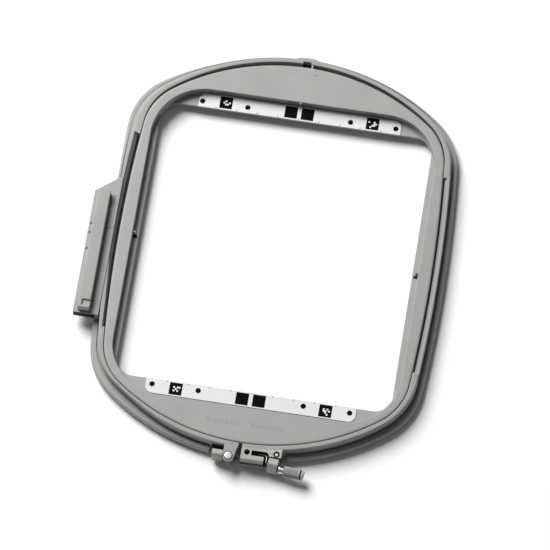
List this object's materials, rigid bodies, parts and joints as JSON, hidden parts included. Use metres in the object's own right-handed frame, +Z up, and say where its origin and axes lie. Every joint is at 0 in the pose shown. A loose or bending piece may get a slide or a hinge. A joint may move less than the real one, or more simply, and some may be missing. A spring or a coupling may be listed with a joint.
{
  "type": "embroidery hoop",
  "caption": "Large embroidery hoop: inner frame with printed scale strips inside a split outer ring, closed by a cam lever and draw bar, with a carriage connector on one side.",
  "frame": {"origin": "centre of the sewing field, on the surface that the hoop lies on", "axes": "+X away from the machine's carriage, +Y to the back where the ring flexes, +Z up"},
  "size_m": [0.3425, 0.4276, 0.026],
  "materials": {
    "grey_plastic": "satin moulded",
    "frame_plastic": "satin moulded",
    "clamp_plastic": "satin moulded",
    "printed_strip": "printed, semi-matt",
    "dark_steel": "blackened",
    "steel": "bright",
    "spring_steel": "polished strip",
    "dark_plastic": "satin",
    "knob_plastic": "satin moulded",
    "brass": "turned"
  },
  "bodies": {
    "ring_left": {"outer_ring_left": "grey_plastic", "connector_base": "grey_plastic", "connector_rail": "grey_plastic", "latch_plate": "dark_steel", "connector_screws": "steel", "code_pins": "dark_plastic", "lever_pivot_pins": "steel"},
    "ring_right": {"outer_ring_right": "grey_plastic", "clamp_bracket": "clamp_plastic", "bracket_screw": "dark_steel", "leaf_spring": "spring_steel", "swivel_pin": "steel"},
    "inner": {"inner_frame": "frame_plastic", "scale_strip_back": "printed_strip", "scale_strip_front": "printed_strip"},
    "lever": {"clamp_lever": "clamp_plastic", "lever_cam_pin": "steel"},
    "bar": {"draw_bar": "steel"},
    "swivel": {"swivel_block": "clamp_plastic"},
    "collar": {"thrust_washer": "steel"},
    "knob": {"adjusting_knob": "knob_plastic", "knob_insert": "brass", "knob_end_ring": "dark_plastic"}
  },
  "joints": [
    {"name": "inner_lift", "type": "slide", "parent": "ring_left", "child": "inner", "axis": [0, 0, 1], "range_m": [0, 0.04]},
    {"name": "lever_open", "type": "hinge", "parent": "ring_left", "child": "lever", "pos_m": [-0.0112, -0.2096, 0.008], "axis": [0, 0, 1], "range_deg": [0, 100]},
    {"name": "ring_flex", "type": "hinge", "parent": "ring_left", "child": "ring_right", "pos_m": [0, 0.2024, 0.008], "axis": [0, 0, 1], "range_deg": [0, 0.23]},
    {"name": "bar_swing", "type": "hinge", "parent": "lever", "child": "bar", "pos_m": [-0.01449, -0.2084, 0.008], "axis": [0, 0, 1], "range_deg": [-96, 0]},
    {"name": "swivel_turn", "type": "hinge", "parent": "ring_right", "child": "swivel", "pos_m": [0.0332, -0.2018, 0.008], "axis": [0, 0, 1], "range_deg": [0, 6.3]},
    {"name": "collar_travel", "type": "slide", "parent": "bar", "child": "collar", "axis": [0.9952, -0.0976, 0], "range_m": [0, 0.0031]},
    {"name": "knob_turn", "type": "hinge", "parent": "collar", "child": "knob", "pos_m": [0.04523, -0.21426, 0.008], "axis": [0.9952, -0.0976, 0], "range_deg": [0, 1080]}
  ],
  "couplings": [
    {"joint": "ring_flex", "follows": "lever_open", "ratio": 0.0022},
    {"joint": "bar_swing", "follows": "lever_open", "ratio": -0.9368},
    {"joint": "swivel_turn", "follows": "lever_open", "ratio": 0.061},
    {"joint": "collar_travel", "follows": "knob_turn", "m_per_rad": 0.00015915}
  ]
}
